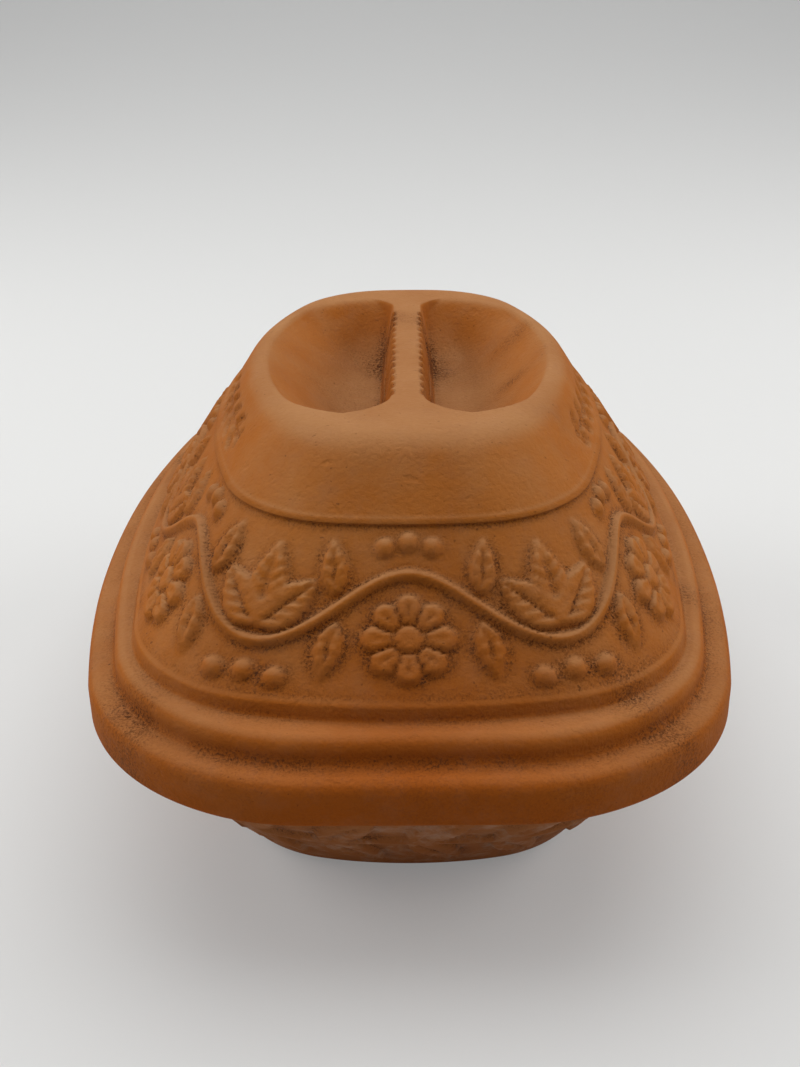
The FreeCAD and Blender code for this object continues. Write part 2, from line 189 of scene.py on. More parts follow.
@dataclass(frozen=True)
class Oval:
    """Plan of eight tangent arcs: bowed ends, bowed sides and round corners."""

    half_length: float
    half_width: float
    end_radius: float
    side_radius: float
    corner: float

    @staticmethod
    def bow_radius(reach: float, bow: float) -> float:
        """Radius of an arc that bows out by so much over a reach on each side."""
        return (reach * reach + bow * bow) / (2 * bow)

    def drawn_in(self, inset: float) -> Oval:
        """Draws the plan in evenly all round.

        Args:
            inset: how far each arc moves in.

        Returns:
            The smaller plan.
        """
        return Oval(
            self.half_length - inset,
            self.half_width - inset,
            self.end_radius - inset,
            self.side_radius - inset,
            self.corner - inset,
        )

    def ring(self, segments: int, height: float) -> np.ndarray:
        """Points round the plan, evenly spaced within each quarter, from +X through +Y.

        Args:
            segments: number of points, a multiple of four.
            height: height of all the points.

        Returns:
            Array of points, one row each.
        """
        end = np.array([0.0, self.half_length - self.end_radius])
        side = np.array([self.half_width - self.side_radius, 0.0])
        gap = side - end
        far = np.hypot(*gap)
        reach = self.end_radius - self.corner
        along = (reach**2 - (self.side_radius - self.corner) ** 2 + far**2) / (2 * far)
        off = math.sqrt(max(reach**2 - along**2, 0.0))
        across = np.array([-gap[1], gap[0]])
        crossings = [end + (gap * along + across * off * sign) / far for sign in (1, -1)]
        middle = max(crossings, key=lambda point: point[0])
        first = math.atan2(*(middle - side)[::-1])
        second = math.atan2(*(middle - end)[::-1])
        arcs = [
            (side, self.side_radius, 0.0, first),
            (middle, self.corner, first, second),
            (end, self.end_radius, second, math.pi / 2),
        ]
        lengths = np.array([radius * (stop - start) for _, radius, start, stop in arcs])
        marks = np.concatenate([[0.0], np.cumsum(lengths)])
        count = segments // 4
        step = np.arange(count) / count
        travel = np.concatenate([step, 1 - step, step, 1 - step]) * marks[-1]
        points = np.zeros((segments, 3))
        for (centre, radius, start, stop), low, high in zip(arcs, marks, marks[1:]):
            on = (travel >= low - SLACK) & (travel <= high + SLACK)
            angle = start + (stop - start) * (travel[on] - low) / (high - low)
            points[on, 0] = centre[0] + radius * np.cos(angle)
            points[on, 1] = centre[1] + radius * np.sin(angle)
        quarter = np.repeat([0, 1, 2, 3], count)
        points[:, 0] *= np.where((quarter == 1) | (quarter == 2), -1, 1)
        points[:, 1] *= np.where(quarter >= 2, -1, 1)
        points[:, 2] = height
        return points


def as_object(mesh: bmesh.types.BMesh, title: str) -> bpy.types.Object:
    """Makes a smooth-shaded object at the origin and frees the bmesh.

    Args:
        mesh: finished shape, in metres.
        title: name of the object.

    Returns:
        The object, linked to the scene.
    """
    for face in mesh.faces:
        face.smooth = True
    data = bpy.data.meshes.new(title)
    mesh.to_mesh(data)
    mesh.free()
    made = bpy.data.objects.new(title, data)
    bpy.context.scene.collection.objects.link(made)
    return made


class RingShell:
    """A clay skin drawn up from one closed loop, ring by ring."""

    merged_within = 0.01 * MM
    sliver_within = 0.005 * MM

    def __init__(self, title: str) -> None:
        """Starts an empty skin with a soil-and-shade value on each point: real dirt and painted
        shade.

        Args:
            title: name of the object that the skin becomes.
        """
        self.title = title
        self.mesh = bmesh.new()
        self.order = self.mesh.verts.layers.int.new("order")
        # per-point darkening of the clay: real dirt and stains, and painted shade in hollows,
        # coves and under overhangs
        self.soil_and_shade = self.mesh.verts.layers.float.new("soil_and_shade")
        self.loop: list[bmesh.types.BMEdge] = []

    def start(self, ring: np.ndarray, soil_and_shade: np.ndarray | float = 0.0) -> list[bmesh.types.BMEdge]:
        """Lays the first loop.

        Args:
            ring: points of the loop.
            soil_and_shade: how much dirt and painted shade sits at each point.

        Returns:
            The loop's edges.
        """
        made = bmesh.ops.create_circle(self.mesh, segments=len(ring), radius=1.0)["verts"]
        for count, point in enumerate(made):
            point[self.order] = count
        self.place(made, ring, soil_and_shade)
        self.loop = list(dict.fromkeys(edge for point in made for edge in point.link_edges))
        return self.loop

    def draw(self, ring: np.ndarray, soil_and_shade: np.ndarray | float = 0.0) -> None:
        """Extrudes the open loop to the next ring.

        Args:
            ring: points of the next ring, in the same order.
            soil_and_shade: how much dirt and painted shade sits at each point.
        """
        made = bmesh.ops.extrude_edge_only(self.mesh, edges=self.loop)["geom"]
        points = [item for item in made if isinstance(item, bmesh.types.BMVert)]
        points.sort(key=lambda point: point[self.order])
        fresh = set(points)
        edges = [item for item in made if isinstance(item, bmesh.types.BMEdge)]
        self.loop = [edge for edge in edges if set(edge.verts) <= fresh]
        self.place(points, ring, soil_and_shade)

    def draw_all(self, rings: np.ndarray, soil_and_shade: np.ndarray | None = None) -> None:
        """Extrudes the open loop through a stack of rings.

        Args:
            rings: points by ring and by place round the ring.
            soil_and_shade: dirt and painted shade in the same layout, or none at all.
        """
        for count, ring in enumerate(rings):
            self.draw(ring, 0.0 if soil_and_shade is None else soil_and_shade[count])

    def place(
        self, points: list[bmesh.types.BMVert], ring: np.ndarray, soil_and_shade: np.ndarray | float
    ) -> None:
        """Moves a loop's points to their places and gives them their dirt and painted shade.

        Args:
            points: the loop's points, in order.
            ring: where each of them goes.
            soil_and_shade: how much dirt and painted shade sits at each of them.
        """
        darkening = np.broadcast_to(soil_and_shade, len(points))
        for point, spot, amount in zip(points, ring * MM, darkening):
            point.co = spot
            point[self.soil_and_shade] = amount

    def join(self, ring: np.ndarray, soil_and_shade: float = 0.0) -> None:
        """Bridges the open loop to a ring that has another number of points.

        Args:
            ring: points of the new loop.
            soil_and_shade: how much dirt and painted shade sits on it.
        """
        outer = self.loop
        inner = self.start(ring, soil_and_shade)
        bmesh.ops.bridge_loops(self.mesh, edges=outer + inner)

    def close(self) -> None:
        """Fills the open loop with one flat face."""
        bmesh.ops.contextual_create(self.mesh, geom=self.loop)

    def finish(self) -> bpy.types.Object:
        """Merges doubles, turns faces outwards and makes the object.

        Returns:
            The finished object, at the origin.
        """
        mesh = self.mesh
        bmesh.ops.remove_doubles(mesh, verts=mesh.verts, dist=self.merged_within)
        bmesh.ops.dissolve_degenerate(mesh, edges=mesh.edges, dist=self.sliver_within)
        bmesh.ops.recalc_face_normals(mesh, faces=mesh.faces)
        return as_object(mesh, self.title)


def outward(rings: np.ndarray) -> np.ndarray:
    """Unit normals of a stack of rings, away from the clay.

    Args:
        rings: points by ring and by place round the ring.

    Returns:
        Normals in the same layout.
    """
    along = np.roll(rings, -1, axis=1) - np.roll(rings, 1, axis=1)
    upward = np.gradient(rings, axis=0)
    normals = np.cross(along, upward)
    return normals / np.maximum(np.linalg.norm(normals, axis=2, keepdims=True), SLACK)


def hollows(height: np.ndarray, reach: int, depth: float) -> np.ndarray:
    """Finds where a relief is lower than its surroundings, to be painted darker: painted shade in
    the hollows, with the dirt that stays there.

    Args:
        height: relief by ring and by place round the ring.
        reach: how many places away still count.
        depth: difference in height that gets the full darkening.

    Returns:
        Share of dirt and painted shade from 0 to 1.
    """
    blurred = height.copy()
    for axis in (0, 1):
        stack = [np.roll(blurred, shift, axis=axis) for shift in range(-reach, reach + 1)]
        blurred = np.mean(stack, axis=0)
    return np.clip((blurred - height) / depth, 0.0, 1.0)


def smooth_ramp(height: np.ndarray, blend: float) -> np.ndarray:
    """Cuts heights off at a level, with a round where they leave it.

    Args:
        height: heights above and below the level.
        blend: size of the round.

    Returns:
        Heights that never fall below the level.
    """
    return 0.5 * (height + np.sqrt(height**2 + blend**2))


def unroll(rings: np.ndarray, start: float) -> tuple[np.ndarray, np.ndarray, float, float]:
    """Lays a stack of rings out flat.

    Args:
        rings: points by ring and by place round the ring.
        start: place that becomes 0, as a share of the way round from +X.

    Returns:
        Place across and place up of each point, the length of the turn, and the rise.
    """
    count, segments = rings.shape[:2]
    middle = rings[count // 2]
    length = np.linalg.norm(middle - np.roll(middle, 1, axis=0), axis=1).sum()
    rise = np.linalg.norm(rings[-1] - rings[0], axis=1).mean()
    across = (np.arange(segments) - start * segments) / segments * length
    across, up = np.meshgrid(across, np.linspace(0.0, rise, count))
    return across, up, length, rise


@dataclass(frozen=True)
class Leaf:
    """One pressed leaf with a midrib and side veins."""

    across: float
    up: float
    turn: float
    length: float
    width: float
    edge: float = 1.25
    bluntness: float = 0.8
    rib: float = 0.7
    rib_edge: float = 1.0
    rib_start: float = 0.1
    rib_depth: float = 0.6
    vein_pitch: float = 4.2
    vein_slant: float = 0.8
    vein_from: float = 0.62
    vein_fade: float = 0.3
    vein_share: float = 0.55

    def relief(self, across: np.ndarray, up: np.ndarray) -> np.ndarray:
        """Finds the leaf's relief on the unrolled wall.

        Args:
            across: place round the wall.
            up: place up the wall.

        Returns:
            Share of the full relief at each point.
        """
        angle = math.radians(self.turn)
        right, rise = across - self.across, up - self.up
        along = right * math.cos(angle) + rise * math.sin(angle)
        aside = np.abs(rise * math.cos(angle) - right * math.sin(angle))
        share = np.clip(along / self.length, 0.0, 1.0)
        half = self.width / 2 * np.sin(np.pi * share**self.bluntness)
        border = np.maximum(aside - half, np.maximum(-along, along - self.length))
        rib = swell(aside - self.rib, self.rib_edge)
        rib = rib * swell(self.rib_start * self.length - along, self.rib_edge)
        wave = np.abs(((along - self.vein_slant * aside) / self.vein_pitch) % 1.0 - 0.5) * 2
        vein = np.clip((wave - self.vein_from) / self.vein_fade, 0.0, 1.0)
        cut = np.maximum(rib, self.vein_share * vein)
        return swell(border, self.edge) * (1 - self.rib_depth * cut)


@dataclass(frozen=True)
class Rosette:
    """One pressed flower of eight petals round a domed eye."""

    across: float
    up: float
    radius: float
    petals: int = 8
    edge: float = 1.3
    scallop: float = 0.28
    bluntness: float = 0.6
    gap: float = 0.55
    gap_edge: float = 0.9
    crease: float = 0.35
    crease_edge: float = 0.8
    crease_reach: float = 0.78
    crease_fade: float = 1.5
    crease_share: float = 0.5
    eye: float = 0.33
    eye_ring: float = 0.6
    eye_edge: float = 1.0
    cut_depth: float = 0.75

    def relief(self, across: np.ndarray, up: np.ndarray) -> np.ndarray:
        """Finds the flower's relief on the unrolled wall.

        Args:
            across: place round the wall.
            up: place up the wall.

        Returns:
            Share of the full relief at each point.
        """
        right, rise = across - self.across, up - self.up
        reach = np.hypot(right, rise)
        angle = self.petals / 2 * np.arctan2(rise, right)
        lobe, fold = np.abs(np.cos(angle)), np.abs(np.sin(angle))
        border = self.radius * (1 - self.scallop + self.scallop * lobe**self.bluntness)
        gap = swell(reach * lobe * 2 / self.petals - self.gap, self.gap_edge)
        crease = swell(reach * fold * 2 / self.petals - self.crease, self.crease_edge)
        crease = crease * swell(reach - self.crease_reach * self.radius, self.crease_fade)
        eye = self.eye * self.radius
        ring = swell(np.abs(reach - eye) - self.eye_ring, self.eye_edge)
        petal_cut = np.maximum(gap, self.crease_share * crease) * swell(eye - reach, self.eye_edge)
        cut = np.maximum(petal_cut, ring)
        return swell(reach - border, self.edge) * (1 - self.cut_depth * cut)


@dataclass(frozen=True)
class Berry:
    """One small pressed dome."""

    across: float
    up: float
    radius: float = 2.6
    foot: float = 0.6

    def relief(self, across: np.ndarray, up: np.ndarray) -> np.ndarray:
        """Share of the full relief at points of the unrolled wall."""
        reach = np.hypot(across - self.across, up - self.up)
        return np.sqrt(np.clip(1 - (reach / (self.radius + self.foot)) ** 2, 0.0, 1.0))


@dataclass(frozen=True)
class VineScroll:
    """A running vine round the band: rosettes under its arches, leaf fans in its dips.

    The tables place the motifs of one wave: across in waves and up in band heights, with a leaf's
    turn in degrees, and lengths, widths and radii in band heights.
    """

    length: float
    height: float
    waves: int = 8
    swing: float = 0.21
    stem: float = 1.4
    edge: float = 1.3
    flowers = ((0.0, 0.34, 0.25),)
    leaves = (
        (0.5, 0.37, 44.0, 0.42, 0.24),
        (0.5, 0.37, 90.0, 0.5, 0.24),
        (0.5, 0.37, 136.0, 0.42, 0.24),
        (-0.25, 0.58, 102.0, 0.34, 0.15),
        (0.25, 0.58, 78.0, 0.34, 0.15),
        (-0.24, 0.42, -98.0, 0.33, 0.14),
        (0.24, 0.42, -82.0, 0.33, 0.14),
    )
    berries = ((-0.09, 0.87), (0.0, 0.9), (0.09, 0.87), (0.4, 0.1), (0.5, 0.12), (0.6, 0.1))

    def relief(self, across: np.ndarray, up: np.ndarray) -> np.ndarray:
        """Finds the relief of the whole band.

        Args:
            across: place round the band, 0 in the middle of the near end.
            up: place up the band.

        Returns:
            Share of the full relief at each point.
        """
        pitch = self.length / self.waves
        local = (across + pitch / 2) % pitch - pitch / 2
        phase = 2 * np.pi * local / pitch
        swing = self.swing * self.height
        line = 0.5 * self.height + swing * np.cos(phase)
        lean = swing * 2 * np.pi / pitch * np.sin(phase)
        distance = np.abs(up - line) / np.sqrt(1 + lean**2)
        best = swell(distance - self.stem, self.edge)
        for motif in self.motifs(pitch):
            for shift in (-pitch, 0.0, pitch):
                best = np.maximum(best, motif.relief(local + shift, up))
        return best

    def motifs(self, pitch: float) -> list[Leaf | Rosette | Berry]:
        """Lays out the motifs of one wave.

        Args:
            pitch: length of the wave.

        Returns:
            Its flowers, leaves and berries.
        """
        tall = self.height
        made: list[Leaf | Rosette | Berry] = []
        for across, up, radius in self.flowers:
            made.append(Rosette(across * pitch, up * tall, radius * tall))
        for across, up, turn, length, width in self.leaves:
            made.append(Leaf(across * pitch, up * tall, turn, length * tall, width * tall))
        for across, up in self.berries:
            made.append(Berry(across * pitch, up * tall))
        return made


@dataclass(frozen=True)
class Garland:
    """A straight stem with pairs of leaves."""

    half_length: float
    middle: float
    leaf_length: float
    leaf_width: float
    pitch: float
    lean: float = 36.0
    stem: float = 0.8
    stem_edge: float = 1.2
    end_fade: float = 2.0

    def relief(self, across: np.ndarray, up: np.ndarray) -> np.ndarray:
        """Finds the garland's relief on the unrolled wall.

        Args:
            across: place round the wall, 0 in the garland's middle.
            up: place up the wall.

        Returns:
            Share of the full relief at each point.
        """
        inside = swell(np.abs(across) - self.half_length, self.end_fade)
        best = swell(np.abs(up - self.middle) - self.stem, self.stem_edge)
        local = (across + self.pitch / 2) % self.pitch - self.pitch / 2
        for lean in (self.lean, -self.lean):
            leaf = Leaf(0.0, self.middle, lean, self.leaf_length, self.leaf_width)
            for shift in (-self.pitch, 0.0, self.pitch):
                best = np.maximum(best, leaf.relief(local + shift, up))
        return best * inside


@dataclass(frozen=True)
class FingerScoops:
    """Two finger scoops in the crest with a notched grip bar between them."""

    depth: float = 24.0
    bar: float = 6.2
    outer: float = 53.0
    half_length: float = 70.0
    corner: float = 24.0
    side_radius: float = 165.0
    side_slope: float = 0.97
    end_slope: float = 1.2
    bar_slope: float = 5.5
    flare_start: float = 52.0
    flare_radius: float = 11.0
    far_flare_start: float = 61.0
    far_flare_radius: float = 6.0
    floor_blend: float = 13.0
    lip_blend: float = 1.8
    lip_sink: float = 0.25
    bar_blend: float = 2.2
    foot_blend: float = 3.0
    notches: int = 14
    notch_run: float = 49.0
    notch_bite: float = 1.3
    notch_share: float = 0.42
    notch_middle: float = 6.0
    notch_half: float = 6.5
    notch_fade: float = 3.0
    foot_place: float = 3.6
    foot_reach: float = 5.0
    foot_from: float = 4.0
    foot_span: float = 14.0
    tooth_place: float = 0.2
    tooth_half: float = 1.6
    tooth_edge: float = 1.0
    tooth_depth: float = 14.0
    # painted shade: the scoop floors darken with depth
    floor_shade: float = 0.22
    floor_from: float = 20.0

    def notch(self, along: np.ndarray) -> np.ndarray:
        """Finds how far the row of notches cuts into the bar.

        Args:
            along: place along the bar.

        Returns:
            Depth of the cut at each place.
        """
        pitch = 2 * self.notch_run / (self.notches - 1)
        local = (along + self.notch_run + pitch / 2) % pitch - pitch / 2
        cut = np.sqrt(np.clip(1 - (local / (self.notch_share * pitch)) ** 2, 0.0, 1.0))
        return cut * self.notch_bite * (np.abs(along) < self.notch_run + pitch / 2)

    def bowl(self, across: np.ndarray, along: np.ndarray) -> np.ndarray:
        """Finds the depth of the scoops as if there were no bar.

        Args:
            across: distance from the long axis.
            along: place along the long axis.

        Returns:
            Depth below the crest at each point.
        """
        side = self.outer - along**2 / (2 * self.side_radius)
        box_x = across - side + self.corner
        box_y = np.abs(along) - self.half_length + self.corner
        round_part = np.hypot(np.clip(box_x, 0.0, None), np.clip(box_y, 0.0, None))
        inside = self.corner - round_part - np.minimum(np.maximum(box_x, box_y), 0.0)
        toward_end = np.clip(box_y / self.corner, 0.0, 1.0)
        slope = self.side_slope + (self.end_slope - self.side_slope) * toward_end
        raw = smooth_min(inside * slope, self.depth, self.floor_blend)
        return smooth_ramp(raw, self.lip_blend) - self.lip_sink

    def drop(self, across: np.ndarray, along: np.ndarray) -> np.ndarray:
        """Finds the depth below the crest.

        Args:
            across: place across the long axis.
            along: place along the long axis.

        Returns:
            Depth at each point, 0 on the flat crest.
        """
        x = np.abs(across)
        near = np.clip(-along - self.flare_start, 0.0, None)
        far = np.clip(along - self.far_flare_start, 0.0, None)
        flare = near**2 / (2 * self.flare_radius) + far**2 / (2 * self.far_flare_radius)
        edge = self.bar + flare
        bowl = self.bowl(x, along)
        plain = self.beside_bar(x - edge, bowl)
        level = swell(np.abs(plain - self.notch_middle) - self.notch_half, self.notch_fade)
        return self.beside_bar(x - edge + self.notch(along) * level, bowl)

    def beside_bar(self, aside: np.ndarray, bowl: np.ndarray) -> np.ndarray:
        """Joins the bar's steep wall to the scoops.

        Args:
            aside: distance from the bar's edge.
            bowl: depth of the scoops.

        Returns:
            Depth at each point, 0 on the flat crest.
        """
        wall = smooth_ramp(aside * self.bar_slope, self.bar_blend)
        return np.clip(smooth_min(wall, bowl, self.foot_blend), 0.0, None)

    def soil_and_shade(self, across: np.ndarray, along: np.ndarray, depth: np.ndarray) -> np.ndarray:
        """Finds the painted shade, partly dirt, on the bar's walls and foot and between its teeth,
        and the painted shade that darkens the floors as they deepen.

        Args:
            across: place across the long axis.
            along: place along the long axis.
            depth: depth below the crest.

        Returns:
            Share of dirt and painted shade at each point.
        """
        aside = np.abs(across) - self.bar
        # painted shade, partly dirt: darker on the bar's walls and foot, and between its teeth
        foot = np.clip(1 - np.abs(aside - self.foot_place) / self.foot_reach, 0.0, 1.0)
        foot = foot * np.clip((depth - self.foot_from) / self.foot_span, 0.0, 1.0)
        teeth = swell(np.abs(aside + self.tooth_place) - self.tooth_half, self.tooth_edge)
        teeth = teeth * self.notch(along) / self.notch_bite * (depth < self.tooth_depth)
        floor = self.floor_shade * np.clip(depth / self.floor_from, 0.0, 1.0)
        return np.maximum(np.maximum(foot, teeth), floor)


@dataclass(frozen=True)
class Smudge:
    """One dark smear of kitchen soil: its place in plan, its reach and how thick it is."""

    across: float
    along: float
    reach: float
    amount: float

    def on(self, rings: np.ndarray) -> np.ndarray:
        """Soil that the smear leaves at each point."""
        distance = np.hypot(rings[..., 0] - self.across, rings[..., 1] - self.along)
        return self.amount * np.exp(-((distance / self.reach) ** 2))


@dataclass(frozen=True)
class TerracottaFinish:
    """Low-fired terracotta, slip-cast and left unglazed.

    Gives the eye a matt, slightly mottled orange-brown skin with a fine grain, dark kitchen soil
    and painted shade in the hollows of the relief, scattered specks and a thin pale bloom of dust.
    It also has painted shade that darkens and reddens the clay toward the bottom, and painted
    light that makes upward faces paler. Each cloud has its size in millimetres, detail, roughness,
    and the two levels that become 0 and 1. Each sum has the name of a mask, the operation, and the
    masks or numbers that it takes.
    """

    title: str
    # low_shade: painted shade, the darker and redder colour of the lowest parts
    low_shade: str
    clay: str
    deep: str
    # pale: colour of the random paler blotches and of the painted light on upward faces
    pale: str
    # deep_soil_and_shade and soil_and_shade: colours of dirt and of painted shade in hollows and
    # under overhangs
    deep_soil_and_shade: str
    soil_and_shade: str
    bloom: str
    bloom_share: float
    # painted shade: full low_shade below low_shade_to, fading to the clay colour by unshaded_from,
    # sooner toward the sides
    low_shade_to: float
    unshaded_from: float
    unshaded_aside: float = 0.28
    roughness: float = 0.88
    clouds = {
        "mottle": (46.0, 4.0, 0.55, 0.34, 0.68),  # uneven firing
        "blotch": (17.0, 5.0, 0.6, 0.42, 0.72),  # thumb-sized paler patches
        "grain": (1.5, 3.0, 0.6, 0.3, 0.72),  # sand in the clay
        "crumb": (0.9, 3.0, 0.7, 0.42, 0.6),  # crumbs of baked-on soil
        "patch": (31.0, 4.0, 0.6, 0.36, 0.62),  # where a hand or a brush missed the soil
        "speck": (1.7, 1.0, 0.5, 0.735, 0.785),  # single burnt specks
        "fleck": (0.75, 2.0, 0.6, 0.52, 0.63),  # fine black flecks caught in the soil
        "smear": (24.0, 6.0, 0.72, 0.55, 0.74),  # wiped stains
        "dust": (12.0, 5.0, 0.7, 0.48, 0.72),  # dry dust
        "pit": (5.5, 2.0, 0.5, 0.24, 0.34),  # burst air bubbles
    }
    sums = (
        # soil_and_shade from the mesh, dirt and painted shade, is broken up by crumbs and missed
        # patches
        ("crumbs", "MULTIPLY_ADD", "crumb", 0.8, 0.16),
        ("missed", "MULTIPLY_ADD", "patch", 0.8, 0.3),
        ("caked_and_shaded", "MULTIPLY", "soil_and_shade", "crumbs"),
        ("caked_and_shaded", "MULTIPLY", "caked_and_shaded", "missed"),
        ("black", "MULTIPLY", "soil_and_shade", "fleck"),
        ("black", "MULTIPLY", "black", "missed"),
        ("stain", "MULTIPLY", "smear", 0.16),
        ("thick", "MULTIPLY_ADD", "soil_and_shade", 0.5, 0.4),
        ("dots", "MULTIPLY", "speck", "thick"),
        ("caked_and_shaded", "MAXIMUM", "caked_and_shaded", "stain"),
        ("black", "MAXIMUM", "black", "dots"),
        # painted light: upward faces above the painted low shade turn to the pale colour
        ("top_light", "MULTIPLY", "upper", "unshaded"),
        ("fired", "MULTIPLY", "mottle", 0.38),
        ("blotch", "MULTIPLY", "blotch", 0.35),
        ("blotch", "MULTIPLY", "blotch", "unshaded"),
        ("sand", "MULTIPLY", "grain", 0.14),
    )

    def material(self) -> bpy.types.Material:
        """Builds the node material.

        Returns:
            The finished material.
        """
        made = bpy.data.materials.new(self.title)
        made.use_nodes = True
        tree = made.node_tree
        tree.nodes.clear()
        masks = self.masks(tree)
        layers = (
            ("unshaded", self.clay),
            # painted light on upward faces
            ("top_light", self.pale),
            ("fired", self.deep),
            ("blotch", self.pale),
            ("sand", self.deep),
            # dirt and painted shade
            ("caked_and_shaded", self.deep_soil_and_shade),
            ("black", self.soil_and_shade),
            ("bloomed", self.bloom),
        )
        # painted shade: the colour starts from low_shade and turns to the clay higher up
        colour: object = linear(self.low_shade)
        for mask, over in layers:
            inputs = {0: masks[mask], 6: colour, 7: linear(over)}
            colour = add_node(tree, "ShaderNodeMix", inputs, data_type="RGBA").outputs[2]
        inputs = {"Strength": 0.5, "Distance": 0.35 * MM, "Height": masks["grain"]}
        skin = add_node(tree, "ShaderNodeBump", inputs).outputs["Normal"]
        inputs = {"Strength": 0.45, "Distance": 0.5 * MM, "Height": masks["pit"], "Normal": skin}
        skin = add_node(tree, "ShaderNodeBump", inputs).outputs["Normal"]
        inputs = {"Base Color": colour, "Normal": skin, "Roughness": self.roughness}
        inputs |= {"Specular IOR Level": 0.18, "IOR": 1.5}
        shader = add_node(tree, "ShaderNodeBsdfPrincipled", inputs)
        add_node(tree, "ShaderNodeOutputMaterial", {"Surface": shader.outputs["BSDF"]})
        return made

    def masks(self, tree: bpy.types.NodeTree) -> dict[str, bpy.types.NodeSocket]:
        """Builds the masks that the colours and the grain are laid on by.

        Args:
            tree: node tree of the material.

        Returns:
            The socket of each mask, by name.
        """
        spot = add_node(tree, "ShaderNodeTexCoord")
        place = spot.outputs["Object"]
        soil_and_shade = add_node(tree, "ShaderNodeAttribute", attribute_name="soil_and_shade")
        level = add_node(tree, "ShaderNodeSeparateXYZ", {0: place})
        facing = add_node(tree, "ShaderNodeSeparateXYZ", {0: spot.outputs["Normal"]})
        masks = {"soil_and_shade": soil_and_shade.outputs["Fac"]}
        inputs = {0: level.outputs["X"]}
        aside = add_node(tree, "ShaderNodeMath", inputs, operation="ABSOLUTE").outputs[0]
        # painted shade: shade_height rises with height and toward the sides; the low_shade colour
        # covers the lowest parts
        inputs = {0: aside, 1: self.unshaded_aside, 2: level.outputs["Z"]}
        shade_height = add_node(tree, "ShaderNodeMath", inputs, operation="MULTIPLY_ADD").outputs[0]
        ramps = {
            "unshaded": (shade_height, self.low_shade_to * MM, self.unshaded_from * MM),
            "upper": (facing.outputs["Z"], 0.6, 1.0),
        }
        for name, (value, low, high) in ramps.items():
            inputs = {"Value": value, "From Min": low, "From Max": high}
            ramp = add_node(tree, "ShaderNodeMapRange", inputs, interpolation_type="SMOOTHSTEP")
            masks[name] = ramp.outputs["Result"]
        for name, (size, detail, rough, low, high) in self.clouds.items():
            inputs = {"Vector": place, "Scale": 1 / (size * MM)}
            inputs |= {"Detail": detail, "Roughness": rough}
            cloud = add_node(tree, "ShaderNodeTexNoise", inputs)
            inputs = {"Value": cloud.outputs[0], "From Min": low, "From Max": high}
            masks[name] = add_node(tree, "ShaderNodeMapRange", inputs).outputs["Result"]
        bloomed = ("bloomed", "MULTIPLY", "dust", self.bloom_share)
        for name, operation, *terms in (*self.sums, bloomed):
            inputs = {count: masks.get(term, term) for count, term in enumerate(terms)}
            total = add_node(tree, "ShaderNodeMath", inputs, operation=operation, use_clamp=True)
            masks[name] = total.outputs[0]
        return masks


LID_CLAY = TerracottaFinish(
    title="terracotta_slip_cast_lid",
    # low_shade: painted shade on the skirt and rim, darker and redder toward the bottom
    low_shade="#A55002",
    clay="#AD6420",
    deep="#8C4A14",
    pale="#AC794B",
    deep_soil_and_shade="#64340E",
    soil_and_shade="#43220A",
    bloom="#C9A184",
    bloom_share=0.05,
    low_shade_to=76.0,
    unshaded_from=145.0,
)
BASE_CLAY = TerracottaFinish(
    title="terracotta_slip_cast_base",
    # low_shade: painted shade, a little darker toward the foot
    low_shade="#A4602C",
    clay="#A9693A",
    deep="#884A1E",
    pale="#B67E50",
    deep_soil_and_shade="#5A3014",
    soil_and_shade="#2E180A",
    bloom="#CFAE95",
    bloom_share=0.42,
    low_shade_to=0.0,
    unshaded_from=80.0,
)


@dataclass
class ClayPiece:
    """What the lid and the base share: the rim's plan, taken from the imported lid.

    Each sway has its lengths along X, Y and Z, in millimetres for a radian, and its start.
    """

    half_length: float
    half_width: float
    rim_end_bow: float = 3.7
    rim_side_bow: float = 28.6
    rim_corner: float = 79.0
    sways = (
        (23.0, 31.0, math.inf, 1.3),
        (math.inf, 17.0, -11.0, 0.4),
        (13.0, math.inf, -19.0, 2.1),
    )

    def rim(self) -> Oval:
        """Draws the plan of the lid's rim.

        Returns:
            The plan.
        """
        return Oval(
            self.half_length,
            self.half_width,
            Oval.bow_radius(self.half_width, self.rim_end_bow),
            Oval.bow_radius(self.half_length, self.rim_side_bow),
            self.rim_corner,
        )

    def uneven(self, rings: np.ndarray, amount: float) -> np.ndarray:
        """Lets a moulded surface waver a little, as hand-finished clay does.

        Args:
            rings: points to move.
            amount: greatest movement.

        Returns:
            The moved points.
        """
        x, y, z = rings[..., 0], rings[..., 1], rings[..., 2]
        wave = sum(np.sin(x / a + y / b + z / c + start) for a, b, c, start in self.sways)
        along = np.roll(rings, -1, axis=1) - np.roll(rings, 1, axis=1)
        aside = np.stack([along[..., 1], -along[..., 0], np.zeros_like(x)], axis=-1)
        aside /= np.linalg.norm(aside, axis=-1, keepdims=True)
        return rings + aside * (wave * amount / len(self.sways))[..., None]

    def dress(
        self, piece: bpy.types.Object, finish: TerracottaFinish, kind: Piece
    ) -> bpy.types.Object:
        """Gives a piece its clay and ties it to the frame.

        Args:
            piece: the bare piece.
            finish: the clay that it is made of.
            kind: which piece it is.

        Returns:
            The same piece.
        """
        piece.data.materials.append(finish.material())
        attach(piece, kind.node)
        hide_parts(kind.node)
        return piece


